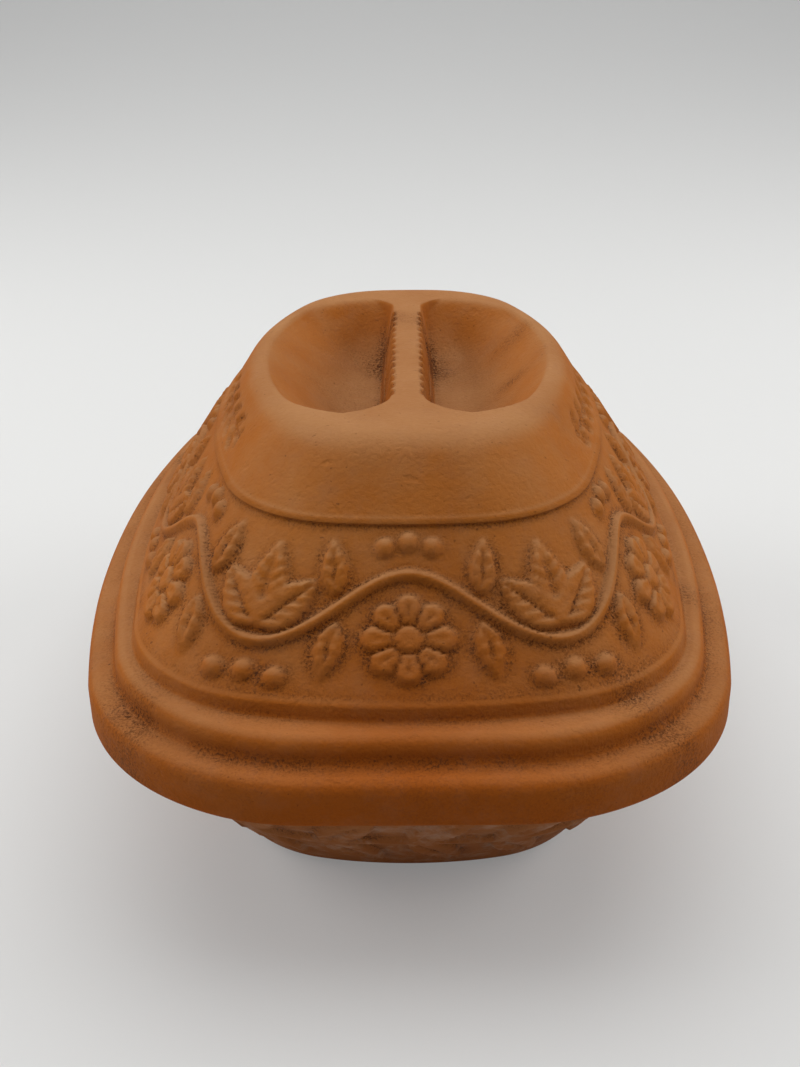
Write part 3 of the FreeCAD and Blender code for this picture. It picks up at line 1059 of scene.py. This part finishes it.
@dataclass
class Lid(ClayPiece):
    """The domed lid: stepped rim, relief band, bare shoulder, finger scoops.

    The tables give the eaves as inset in relief steps and rise, a garland leaf's length, width and
    pitch in heights of the roof, the half widths of the rings on the bar, and the pod under the
    scoops as a share of the ceiling's plan and a height over the pod's floor, or None where it
    stays at the ceiling.
    """

    skirt: float = 72.0
    crest: float = 166.0
    seat: float = 78.0
    shelf: float = 87.5
    bead: float = 96.5
    sill: float = 101.5
    eaves: float = 143.5
    hollow: float = 157.0
    pod: float = 133.0
    skirt_wall: float = 6.0
    mouth_inset: float = 27.0
    mouth_rise: float = 6.0
    skirt_lift: float = 0.6
    rim_shelf: float = 10.0
    bead_width: float = 9.5
    bead_lean: float = 0.4
    bead_share: float = 0.38
    skirt_round: float = 1.8
    shelf_round: float = 4.2
    cove_round: float = 3.2
    bead_round: float = 3.8
    round_steps: int = 3
    waver: float = 0.35
    # darker in the cove between shelf and bead: dirt and painted shade
    cove_soil_and_shade: float = 0.85
    cove_depth: float = 0.8
    cove_reach: float = 4.5
    # painted shade: the skirt face is painted darker, the bead only faintly
    skirt_shade: float = 0.22
    bead_shade: float = 0.04
    skirt_shade_reach: float = 0.5
    # darker at the foot of the sill riser
    sill_dark: float = 0.45
    sill_reach: float = 3.5
    relief_step: float = 0.55
    relief_height: float = 2.1
    band_start: float = 1.3
    band_border: float = 1.6
    band_hollow: float = 0.33
    band_foot_reach: float = 5.0
    # darker along the band's foot and along its top under the eaves
    band_foot_dark: float = 0.45
    band_top_reach: float = 3.0
    band_top_dark: float = 0.7
    roof_start: float = 2.2
    garland_half: float = 60.0
    garland_depth: float = 1.5
    # darker in the sunk garlands and along the eaves
    garland_dark: float = 0.85
    eaves_dark: float = 0.6
    end_run: float = 59.0
    side_run: float = 41.5
    sill_end_bow: float = 20.6
    sill_side_bow: float = 17.4
    sill_corner: float = 56.0
    crest_end_bow: float = 10.6
    crest_side_bow: float = 28.5
    crest_corner: float = 38.0
    end_shoulder: float = 17.0
    side_shoulder: float = 9.0
    shoulder_share: float = 0.34
    ridge_share: float = 0.66
    crest_margin: float = 1.4
    floor_step: float = 1.8
    bar_zone: float = 22.5
    bar_step: float = 0.72
    bar_stop: float = 5.0
    wall: float = 12.0
    inner_soil: float = 0.2
    segments: int = 600
    inner_segments: int = 120
    band_rings: int = 58
    roof_rings: int = 16
    shoulder_rings: int = 9
    mouth_rings: int = 4
    hollow_rings: int = 7
    eaves_steps = ((0.7, 0.25), (0.2, 0.6), (0.0, 1.1))
    garland_leaf = (0.62, 0.26, 0.6)
    bar_widths = (4.2, 2.8, 1.4, 0.0)
    pod_steps = ((0.93, None), (0.86, 21.0), (0.72, 5.0), (0.66, 1.2), (0.6, 0.0))
    smudges: tuple[Smudge, ...] = (
        Smudge(-86.0, -141.0, 8.0, 0.7),
        Smudge(-93.0, -131.0, 6.0, 0.6),
        Smudge(70.0, -140.0, 7.0, 0.6),
        Smudge(84.0, -147.0, 8.0, 0.55),
        Smudge(-10.0, 42.0, 8.0, 0.7),
        Smudge(10.0, 38.0, 9.0, 0.7),
        Smudge(44.0, 33.0, 6.0, 0.6),
        Smudge(40.0, -5.0, 5.0, 0.5),
        Smudge(30.0, 150.0, 10.0, 0.6),
        Smudge(-104.0, 60.0, 9.0, 0.6),
        Smudge(101.0, -72.0, 8.0, 0.4),
    )

    def cut(self, run: float, radius: float, height: float) -> float:
        """Finds how far the rounded shoulder lies inside the dome's straight slope.

        Args:
            run: how far the slope runs in from the sill to the crest.
            radius: radius of the shoulder.
            height: height of the place asked for.

        Returns:
            Distance between the slope and the round, 0 below the round.
        """
        turn = math.atan2(self.crest - self.sill, run)
        depth = self.crest - height
        if depth >= radius * (1 - math.cos(turn)):
            return 0.0
        level = math.sqrt(max(radius**2 - (radius - depth) ** 2, 0.0))
        return depth / math.tan(turn) + radius * math.tan(turn / 2) - level

    def dome(self, height: float, inset: float = 0.0) -> Oval:
        """Draws the dome's plan.

        Args:
            height: height of the plan.
            inset: how far it is drawn in.

        Returns:
            The plan.
        """
        share = (height - self.sill) / (self.crest - self.sill)
        edge = self.rim_shelf + self.bead_width + inset
        ends = self.cut(self.end_run, self.end_shoulder, height)
        sides = self.cut(self.side_run, self.side_shoulder, height)
        half_length = self.half_length - edge - self.end_run * share - ends
        half_width = self.half_width - edge - self.side_run * share - sides
        end_bow = self.sill_end_bow + (self.crest_end_bow - self.sill_end_bow) * share
        side_bow = self.sill_side_bow + (self.crest_side_bow - self.sill_side_bow) * share
        return Oval(
            half_length,
            half_width,
            Oval.bow_radius(half_width, end_bow),
            Oval.bow_radius(half_length, side_bow),
            self.sill_corner + (self.crest_corner - self.sill_corner) * share,
        )

    def dome_rings(self, heights: np.ndarray, inset: float = 0.0) -> np.ndarray:
        """Draws rings of the dome, each at its own height.

        Args:
            heights: height of each ring.
            inset: how far they are drawn in.

        Returns:
            Points by ring and by place round the ring.
        """
        return np.array([self.dome(h, inset).ring(self.segments, h) for h in heights])

    def caught(
        self, profile: list[tuple[float, float]], cove: tuple[float, float], reach: float
    ) -> np.ndarray:
        """Finds how dark a cove in a profile is painted: dirt and painted shade, fading away from
        it.

        Args:
            profile: inset and height of each ring.
            cove: inset and height of the cove.
            reach: how far from it the darkening ends.

        Returns:
            Share of dirt and painted shade by ring and by place round the ring.
        """
        far = np.array([math.dist(point, cove) for point in profile])
        return np.clip(1.0 - far / reach, 0.0, 1.0)[:, None] * np.ones(self.segments)

    def rim_rings(self) -> tuple[np.ndarray, np.ndarray]:
        """Draws the skirt, the rim's shelf and the bead.

        Returns:
            Their rings and their dirt and painted shade.
        """
        inner = self.rim_shelf
        corners = [
            (self.skirt_wall, self.skirt, 0.0),
            (0.0, self.skirt, self.skirt_round),
            (0.0, self.shelf, self.shelf_round),
            (inner, self.shelf, self.cove_round),
            (inner - self.bead_lean, self.bead, self.bead_round),
            (inner + self.bead_share * self.bead_width, self.bead, 0.0),
        ]
        profile = rounded_profile(corners, self.round_steps)
        rim = self.rim()
        rings = [rim.drawn_in(inset).ring(self.segments, height) for inset, height in profile]
        cove = (inner - self.cove_depth, self.shelf + self.cove_depth)
        soil_and_shade = self.cove_soil_and_shade * self.caught(profile, cove, self.cove_reach)
        # painted shade on the skirt, below the shelf, and faintly on the bead
        below = np.array([height < self.shelf + self.skirt_shade_reach for _, height in profile])
        rim_shade = np.where(below, self.skirt_shade, self.bead_shade)
        return np.array(rings), np.maximum(soil_and_shade, rim_shade[:, None])

    def sill_rings(self) -> tuple[np.ndarray, np.ndarray]:
        """Draws the small riser under the relief band.

        Returns:
            Its rings and how much darker each point is painted.
        """
        corners = [
            (-2.4, self.bead, 0.0),
            (-0.6, self.bead, 1.75),
            (0.2, self.sill - 0.2, 1.7),
            (self.relief_step + 0.6, self.sill + 0.75, 0.0),
        ]
        profile = rounded_profile(corners, self.round_steps)
        rings = []
        for inset, height in profile:
            rings.append(self.dome(self.sill, inset).ring(self.segments, height))
        cove = (-1.0, self.bead + 0.6)
        # darker at the foot of the sill riser
        soil_and_shade = self.sill_dark * self.caught(profile, cove, self.sill_reach)
        return np.array(rings), soil_and_shade

    def band(self) -> tuple[np.ndarray, np.ndarray]:
        """Draws the leaning relief band with its vine scroll.

        Returns:
            Its rings and their dirt and painted shade.
        """
        heights = np.linspace(self.sill + self.band_start, self.eaves, self.band_rings)
        rings = self.dome_rings(heights, self.relief_step)
        across, up, length, rise = unroll(rings, NEAR_END)
        border = np.clip(np.minimum(up, rise - up) / self.band_border, 0.0, 1.0)
        relief = VineScroll(length, rise).relief(across, up) * border
        # darker along the band's foot and top; painted shade and dirt in the relief's hollows
        foot = self.band_foot_dark * np.clip(1 - up / self.band_foot_reach, 0.0, 1.0)
        top = self.band_top_dark * np.clip(1 - (rise - up) / self.band_top_reach, 0.0, 1.0)
        soil_and_shade = np.maximum(hollows(relief, 3, self.band_hollow), np.maximum(foot, top))
        return rings + outward(rings) * (relief * self.relief_height)[..., None], soil_and_shade

    def roof(self) -> tuple[np.ndarray, np.ndarray]:
        """Draws the bare zone above the band, its two sunk garlands, and the shoulder.

        Returns:
            Their rings and how much darker each point is painted.
        """
        first = []
        for steps, rise in self.eaves_steps:
            plan = self.dome(self.eaves, steps * self.relief_step)
            first.append(plan.ring(self.segments, self.eaves + rise))
        top = self.crest - self.shoulder_share * self.end_shoulder
        plain = self.dome_rings(np.linspace(self.eaves + self.roof_start, top, self.roof_rings))
        across, up, length, rise = unroll(plain, 0.0)
        across = (across + length / 4) % (length / 2) - length / 4
        leaf = [share * rise for share in self.garland_leaf]
        sunk = Garland(self.garland_half, rise / 2, *leaf).relief(across, up)
        plain = plain - outward(plain) * (sunk * self.garland_depth)[..., None]
        turn = np.linspace(0.0, math.pi / 2, self.shoulder_rings + 1)[1:]
        shoulder = self.dome_rings(top + (self.crest - top) * np.sin(turn))
        rings = np.concatenate([first, plain, shoulder])
        soil_and_shade = np.zeros(rings.shape[:2])
        # darker along the eaves and in the sunk garlands
        soil_and_shade[:2] = self.eaves_dark
        soil_and_shade[len(first) : len(first) + self.roof_rings] = self.garland_dark * sunk
        return rings, soil_and_shade

    def top(self) -> tuple[np.ndarray, np.ndarray]:
        """Draws the crest in to its long axis, with the finger scoops and the notched bar.

        Returns:
            Its rings, closest together beside the bar, and their dirt and painted shade.
        """
        plan = self.dome(self.crest)
        rim = plan.ring(self.segments, self.crest)
        outer = plan.half_width - self.crest_margin
        floors = np.arange(outer, self.bar_zone + 0.5, -self.floor_step)
        beside_bar = np.arange(self.bar_zone, self.bar_stop, -self.bar_step)
        widths = np.concatenate([floors, beside_bar, self.bar_widths])
        scoops = FingerScoops()
        rings = []
        for share in widths / plan.half_width:
            ring = rim * [share, self.ridge_share + (1 - self.ridge_share) * share, 1.0]
            ring[:, 2] = self.crest - scoops.drop(ring[:, 0], ring[:, 1])
            rings.append(ring)
        made = np.array(rings)
        return made, scoops.soil_and_shade(made[..., 0], made[..., 1], self.crest - made[..., 2])

    def inside(self) -> np.ndarray:
        """Draws the rebate, the hollow and the pod under the scoops.

        Returns:
            Points by ring and by place round the ring.
        """
        count = self.inner_segments
        rebate = self.rim().drawn_in(self.skirt_wall)
        foot = self.rim().drawn_in(self.mouth_inset).ring(count, 0.0)
        lean = self.dome(self.sill, self.wall).ring(count, 0.0) - foot
        ceiling = self.dome(self.hollow, self.wall).ring(count, 0.0)
        rings = [rebate.ring(count, level) for level in (self.skirt + self.skirt_lift, self.seat)]
        mouth = np.linspace(self.seat + self.mouth_rise, self.sill, self.mouth_rings)
        for height in (self.seat, *mouth):
            part = (height - self.skirt) / (self.sill - self.skirt)
            rings.append(foot + lean * part + [0, 0, height])
        for height in np.linspace(self.sill, self.hollow, self.hollow_rings)[1:]:
            rings.append(self.dome(height, self.wall).ring(count, height))
        for share, rise in self.pod_steps:
            level = self.hollow if rise is None else self.pod + rise
            rings.append(ceiling * share + [0, 0, level])
        return np.array(rings)

    def build(self) -> bpy.types.Object:
        """Draws up the whole lid.

        Returns:
            The lid's object.
        """
        rim, rim_soil_and_shade = self.rim_rings()
        sill, sill_dark = self.sill_rings()
        foot = self.uneven(np.concatenate([rim, sill]), self.waver)
        parts = [(foot, np.concatenate([rim_soil_and_shade, sill_dark]))]
        parts += [self.band(), self.roof(), self.top()]
        rings = np.concatenate([part for part, _ in parts])
        soil_and_shade = np.concatenate([darkening for _, darkening in parts])
        soil_and_shade = soil_and_shade + sum(smudge.on(rings) for smudge in self.smudges)
        shell = RingShell(Piece.LID.title)
        lower = shell.start(rings[0])
        shell.draw_all(rings[1:], soil_and_shade[1:])
        shell.loop = lower
        inside = self.inside()
        shell.join(inside[0], self.inner_soil)
        shell.draw_all(inside[1:])
        shell.close()
        return shell.finish()


@dataclass
class Base(ClayPiece):
    """The boat-shaped base: flat foot, leaning walls with a garland, flange under the lid.

    The tables give a garland leaf's length and width in heights of the wall, the cove under the
    flange as a depth under it and an inset, and the inner lip as a depth under the seat and how
    far it lies outside the wall's face.
    """

    height: float = 78.0
    flange_height: float = 9.0
    flange_inset: float = 7.0
    flange_round: float = 2.5
    flange_tuck: float = 4.0
    neck_inset: float = 7.0
    neck_corner: float = 68.0
    # painted shadow on the neck, under the flange
    neck_shadow: float = 0.6
    foot_end_inset: float = 52.5
    foot_side_inset: float = 34.5
    foot_corner: float = 45.0
    foot_end_bow: float = 18.0
    foot_round: float = 14.0
    foot_rise: float = 0.62
    foot_tuck: float = 0.55
    foot_turn: float = 1.032
    relief_start: float = 1.0
    relief_stop: float = 4.5
    wall: float = 11.0
    lip_depth: float = 2.6
    floor: float = 10.0
    floor_round: float = 16.0
    floor_tuck: float = 0.55
    relief_height: float = 1.8
    relief_border: float = 3.0
    relief_hollow: float = 0.4
    leaf_pitch: float = 30.0
    leaf_lean: float = 52.0
    stem: float = 1.3
    segments: int = 480
    wall_rings: int = 44
    foot_rings: int = 7
    inner_rings: int = 9
    floor_rings: int = 7
    flange_steps: int = 4
    leaf = (0.46, 0.2)
    neck_steps = ((2.0, -0.3), (0.6, -1.6), (0.0, -3.4))
    lip_steps = ((0.0, 1.5), (0.7, 0.4))

    def neck(self) -> Oval:
        """Draws the plan of the wall's top, under the flange.

        Returns:
            The plan.
        """
        plan = self.rim().drawn_in(self.flange_inset + self.neck_inset)
        return replace(plan, corner=self.neck_corner)

    def foot(self) -> Oval:
        """Draws the plan where the wall's slope would meet the floor.

        Returns:
            The plan.
        """
        neck = self.neck()
        half_width = neck.half_width - self.foot_side_inset
        return Oval(
            neck.half_length - self.foot_end_inset,
            half_width,
            Oval.bow_radius(half_width, self.foot_end_bow),
            neck.side_radius - self.foot_side_inset,
            self.foot_corner,
        )

    def slope(self, height: float, inset: float = 0.0) -> np.ndarray:
        """Draws one ring of the leaning wall.

        Args:
            height: height of the ring.
            inset: how far it is drawn in.

        Returns:
            Points round the ring.
        """
        top = self.height - self.flange_height
        low = self.foot().drawn_in(inset).ring(self.segments, height)
        high = self.neck().drawn_in(inset).ring(self.segments, height)
        return low + (high - low) * (height / top)

    def outside(self) -> tuple[np.ndarray, np.ndarray]:
        """Draws the foot and the wall with its relief, up to the flange.

        Returns:
            Their rings and their dirt and painted shade.
        """
        foot = []
        for angle in np.linspace(0.0, self.foot_turn, self.foot_rings):
            level = self.foot_round * self.foot_rise * (1 - math.cos(angle))
            open_share = 1 - math.sin(angle) / math.sin(self.foot_turn)
            foot.append(self.slope(level, self.foot_round * self.foot_tuck * open_share))
        top = self.height - self.flange_height
        low = foot[-1][0, 2] + self.relief_start
        heights = np.linspace(low, top - self.relief_stop, self.wall_rings)
        wall = np.array([self.slope(height) for height in heights])
        across, up, length, rise = unroll(wall, NEAR_END)
        pitch = length / round(length / self.leaf_pitch)
        leaf = [share * rise for share in self.leaf]
        garland = Garland(length, rise / 2, *leaf, pitch, self.leaf_lean, self.stem)
        border = np.clip(np.minimum(up, rise - up) / self.relief_border, 0.0, 1.0)
        relief = garland.relief(across, up) * border
        wall = wall + outward(wall) * (relief * self.relief_height)[..., None]
        neck = [self.slope(top - depth, inset) for depth, inset in self.neck_steps]
        rings = np.concatenate([foot, wall, neck])
        soil_and_shade = np.zeros(rings.shape[:2])
        # dirt and painted shade in the relief's hollows
        soil_and_shade[len(foot) : len(foot) + self.wall_rings] = hollows(relief, 3, self.relief_hollow)
        # painted shadow on the neck under the flange
        soil_and_shade[-len(neck) :] = self.neck_shadow
        return rings, soil_and_shade

    def flange_and_inside(self) -> np.ndarray:
        """Draws the flange, the seat, the cooking space and its floor.

        Returns:
            Points by ring and by place round the ring.
        """
        flange = self.rim().drawn_in(self.flange_inset)
        top = self.height - self.flange_height
        corners = [
            (self.flange_tuck, top, 0.0),
            (0.0, top, self.flange_round),
            (0.0, self.height, self.flange_round),
            (self.neck_inset + self.flange_tuck, self.height, 0.0),
        ]
        edge = rounded_profile(corners, self.flange_steps)
        rings = [flange.drawn_in(inset).ring(self.segments, height) for inset, height in edge]
        for depth, inset in self.lip_steps:
            rings.append(self.slope(self.height - depth, self.wall - inset))
        low, high = self.floor + self.floor_round, self.height - self.lip_depth
        for level in np.linspace(high, low, self.inner_rings):
            rings.append(self.slope(level, self.wall))
        for angle in np.linspace(0.0, math.pi / 2, self.floor_rings)[1:]:
            level = self.floor + self.floor_round * (1 - math.sin(angle))
            tuck = self.floor_tuck * self.floor_round * (1 - math.cos(angle))
            rings.append(self.slope(level, self.wall + tuck))
        return np.array(rings)

    def build(self) -> bpy.types.Object:
        """Draws up the whole base.

        Returns:
            The base's object.
        """
        outside, soil_and_shade = self.outside()
        shell = RingShell(Piece.BASE.title)
        shell.start(outside[0])
        shell.close()
        shell.draw_all(outside[1:], soil_and_shade[1:])
        shell.draw_all(self.flange_and_inside())
        shell.close()
        return shell.finish()


@dataclass(frozen=True)
class SoftBox:
    """One lamp behind white cloth: watts, width and depth, place and aim in metres."""

    title: str
    power: float
    size: tuple[float, float]
    place: tuple[float, float, float]
    aim: tuple[float, float, float]

    def hang(self) -> None:
        """Hangs the lamp and turns it to its aim."""
        lamp = bpy.data.lights.new(self.title, "AREA")
        lamp.shape = "RECTANGLE"
        lamp.size, lamp.size_y = self.size
        lamp.energy = self.power
        box = bpy.data.objects.new(self.title, lamp)
        box.location = self.place
        ahead = Vector(self.aim) - Vector(self.place)
        box.rotation_euler = ahead.to_track_quat("-Z", "Y").to_euler()
        bpy.context.scene.collection.objects.link(box)


@dataclass
class Studio:
    """Pale paper sweep, soft light from above and both sides, and the photograph's camera."""

    paper: str = "#C6C6C4"
    paper_glow: float = 0.2
    reach: float = 9.0
    floor_gap: float = 0.0002
    sweep_radius: float = 4.5
    sweep_steps: int = 48
    sweep_rise: float = 2.4
    wall_place: float = 0.8
    focal_pixels: float = 1249.7
    frame_height: float = 1067.0
    sensor: float = 36.0
    clip_start: float = 0.01
    camera_place: tuple[float, float, float] = (0.0002, -0.46515, 0.3134)
    pitch: float = 0.45375
    yaw: float = -0.00785
    roll: float = -0.00938
    room: str = "#FBFCFF"
    sky: float = 0.2
    backdrop: float = 0.6
    boxes: tuple[SoftBox, ...] = (
        SoftBox("soft_box", 18.8, (2.0, 1.8), (0.03, 0.25, 1.5), (0.0, 0.05, 0.1)),
        SoftBox("wall_box", 8.4, (3.0, 1.0), (0.0, 1.7, 2.4), (0.0, 3.2, 1.6)),
        SoftBox("left_box", 10.0, (1.2, 0.8), (-1.35, 0.2, 0.8), (0.0, 0.0, 0.05)),
        SoftBox("right_box", 8.5, (1.2, 0.8), (1.35, 0.2, 0.8), (0.0, 0.0, 0.05)),
    )

    def build(self) -> None:
        """Makes the floor, the lights and the camera."""
        self.sweep().data.materials.append(self.matt_paper())
        self.lights()
        self.camera()

    def sweep(self) -> bpy.types.Object:
        """Pulls a strip of paper along the floor and up the wall behind.

        Returns:
            The bare strip.
        """
        mesh = bmesh.new()
        grid = bmesh.ops.create_grid(mesh, x_segments=1, y_segments=1, size=self.reach)
        edge = grid["verts"]
        back = [point for point in edge if point.co.y > 0]
        for point in edge:
            point.co.y = self.wall_place if point in back else -self.reach
            point.co.z = -self.floor_gap
        border = next(e for e in mesh.edges if all(point in back for point in e.verts))
        turned = bmesh.ops.spin(
            mesh,
            geom=[border, *border.verts],
            cent=(0.0, self.wall_place, self.sweep_radius),
            axis=(1, 0, 0),
            angle=math.pi / 2,
            steps=self.sweep_steps,
        )["geom_last"]
        rising = [item for item in turned if isinstance(item, bmesh.types.BMEdge)]
        made = bmesh.ops.extrude_edge_only(mesh, edges=rising)["geom"]
        raised = [item for item in made if isinstance(item, bmesh.types.BMVert)]
        bmesh.ops.translate(mesh, verts=raised, vec=(0.0, 0.0, self.sweep_rise))
        bmesh.ops.recalc_face_normals(mesh, faces=mesh.faces)
        strip = as_object(mesh, "paper_sweep")
        return strip

    def matt_paper(self) -> bpy.types.Material:
        """Builds the paper: a matt pale grey that glows a little for the eye alone.

        Returns:
            The finished material.
        """
        paper = bpy.data.materials.new("matt_paper")
        paper.use_nodes = True
        tree = paper.node_tree
        tree.nodes.clear()
        glow = self.seen(tree, 0.0, self.paper_glow)
        inputs = {"Base Color": linear(self.paper), "Roughness": 0.95, "Specular IOR Level": 0.1}
        inputs |= {"Emission Color": linear("#FFFFFF"), "Emission Strength": glow}
        shader = add_node(tree, "ShaderNodeBsdfPrincipled", inputs)
        add_node(tree, "ShaderNodeOutputMaterial", {"Surface": shader.outputs["BSDF"]})
        return paper

    def lights(self) -> None:
        """Hangs the soft boxes over the object, at its sides and at the wall, in a pale room."""
        world = bpy.data.worlds.new("pale_room")
        world.use_nodes = True
        tree = world.node_tree
        tree.nodes.clear()
        strength = self.seen(tree, self.sky, self.backdrop - self.sky)
        inputs = {"Color": linear(self.room), "Strength": strength}
        room = add_node(tree, "ShaderNodeBackground", inputs)
        add_node(tree, "ShaderNodeOutputWorld", {"Surface": room.outputs["Background"]})
        bpy.context.scene.world = world
        for box in self.boxes:
            box.hang()

    def seen(
        self, tree: bpy.types.NodeTree, least: float, extra: float
    ) -> bpy.types.NodeSocket:
        """Makes a strength that is higher where the camera sees the surface, also in a gloss.

        Args:
            tree: node tree of the material or the world.
            least: strength that lights the object.
            extra: strength added for the eye alone.

        Returns:
            The socket of the strength.
        """
        path = add_node(tree, "ShaderNodeLightPath").outputs
        strength: object = least
        for ray in ("Is Camera Ray", "Is Glossy Ray", "Is Transmission Ray"):
            inputs = {0: path[ray], 1: extra, 2: strength}
            total = add_node(tree, "ShaderNodeMath", inputs, operation="MULTIPLY_ADD")
            strength = total.outputs[0]
        return strength

    def camera(self) -> None:
        """Sets the camera where the photograph was taken."""
        level_share = math.cos(self.pitch)
        ahead = Vector((0.0, 0.0, -math.sin(self.pitch)))
        ahead.x = math.sin(self.yaw) * level_share
        ahead.y = math.cos(self.yaw) * level_share
        level = Vector((math.cos(self.yaw), -math.sin(self.yaw), 0.0))
        above = level.cross(ahead)
        right = level * math.cos(self.roll) + above * math.sin(self.roll)
        upward = above * math.cos(self.roll) - level * math.sin(self.roll)
        turn = Matrix((right, upward, -ahead)).transposed()
        data = bpy.data.cameras.new("camera")
        data.sensor_width = self.sensor
        data.lens = self.focal_pixels / self.frame_height * self.sensor
        data.clip_start = self.clip_start
        camera = bpy.data.objects.new("camera", data)
        camera.matrix_world = Matrix.Translation(self.camera_place) @ turn.to_4x4()
        bpy.context.scene.collection.objects.link(camera)
        bpy.context.scene.camera = camera


def main() -> None:
    """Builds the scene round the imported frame."""
    logging.basicConfig(level=logging.INFO, format="%(name)s: %(message)s")
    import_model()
    bpy.context.scene.view_settings.view_transform = "Standard"
    low, high = (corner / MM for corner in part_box(Piece.LID.node))
    half_length, half_width = (high.y - low.y) / 2, (high.x - low.x) / 2
    lid = Lid(half_length, half_width, skirt=low.z, crest=high.z)
    base = Base(half_length, half_width, height=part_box(Piece.BASE.node)[1].z / MM)
    for maker, finish, kind in ((base, BASE_CLAY, Piece.BASE), (lid, LID_CLAY, Piece.LID)):
        piece = maker.dress(maker.build(), finish, kind)
        triangles = sum(len(face.vertices) - 2 for face in piece.data.polygons)
        LOG.info("%s: %d triangles", piece.name, triangles)
    Studio().build()
    bpy.context.view_layer.update()


if __name__ == "__main__":
    main()
